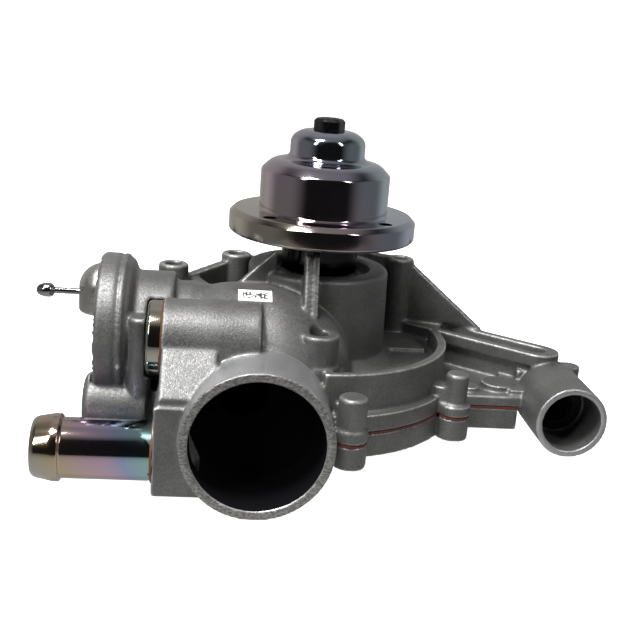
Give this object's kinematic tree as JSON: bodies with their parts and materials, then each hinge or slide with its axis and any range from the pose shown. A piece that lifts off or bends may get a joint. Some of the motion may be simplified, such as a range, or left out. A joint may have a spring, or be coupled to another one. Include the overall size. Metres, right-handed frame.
{
  "type": "engine coolant pump",
  "caption": "Cast aluminium belt-driven coolant pump with a stepped pulley hub, hose neck, heater nipple, side port and a vacuum-operated shut-off valve.",
  "frame": {"origin": "shaft axis on the rear mounting face that bolts to the engine", "axes": "+Z along the shaft from the mounting face to the pulley hub; -Y out of the hose neck; -X out of the heater nipple"},
  "size_m": [0.2025, 0.1316, 0.1229],
  "materials": {
    "cast_front": "as-cast aluminium, bead blasted, fine grain",
    "cast_rear": "as-cast aluminium, slightly darker",
    "gasket": "moulded red-brown gasket edge",
    "seal_rubber": "black moulded rubber",
    "bearing_steel": "ground bearing steel",
    "ball_steel": "polished ball steel",
    "cage_brass": "machined bronze",
    "ground_steel": "ground steel",
    "zinc_steel": "turned steel, zinc plated with clear iridescent passivation",
    "black_oxide": "black oxide steel",
    "impeller_plastic": "glass-filled moulded plastic",
    "stainless": "bright stainless steel",
    "carbon": "dense carbon",
    "ceramic": "lapped ceramic",
    "sealant": "cured thread and press-fit sealant",
    "pressed_steel": "deep-drawn steel, nickel coloured",
    "tube_steel": "bright drawn tube",
    "screw_steel": "zinc flake coated steel",
    "label_white": "paper label, plain"
  },
  "bodies": {
    "root": {"front_housing": "cast_front", "rear_housing": "cast_rear", "housing_gasket": "gasket", "mount_seal_ring": "seal_rubber", "bearing_sleeve": "bearing_steel", "bearing_balls": "ball_steel", "bearing_cages": "cage_brass", "bearing_seals": "seal_rubber", "seal_cup": "stainless", "seal_spring": "stainless", "seal_carbon_ring": "carbon", "heater_nipple": "zinc_steel", "nipple_sealant": "sealant", "core_plug": "zinc_steel", "plug_sealant": "sealant", "actuator_cover": "pressed_steel", "cover_ring": "black_oxide", "vacuum_tube": "tube_steel", "diaphragm": "seal_rubber", "actuator_spring": "stainless", "rod_bush": "cage_brass", "rod_seal": "seal_rubber", "valve_seat": "stainless", "cover_screws": "screw_steel", "dowel_sleeves": "ground_steel", "weep_cover": "seal_rubber", "label": "label_white"},
    "rotor": {"pump_shaft": "ground_steel", "pulley_hub": "zinc_steel", "hub_bolt": "black_oxide", "impeller": "impeller_plastic", "seal_mating_ring": "ceramic"},
    "shutoff_rod": {"diaphragm_plate": "pressed_steel", "push_rod": "ground_steel", "valve_disc": "seal_rubber", "valve_disc_nut": "stainless"}
  },
  "joints": [
    {"name": "rotor_spin", "type": "hinge", "parent": "root", "child": "rotor", "pos_m": [0, 0, 0], "axis": [0, 0, 1], "continuous": true},
    {"name": "actuator_stroke", "type": "slide", "parent": "root", "child": "shutoff_rod", "axis": [-1, 0, 0], "range_m": [0, 0.005], "stiffness_N_per_m": 1500, "springref_m": -0.004, "deforming": ["actuator_spring"]}
  ]
}
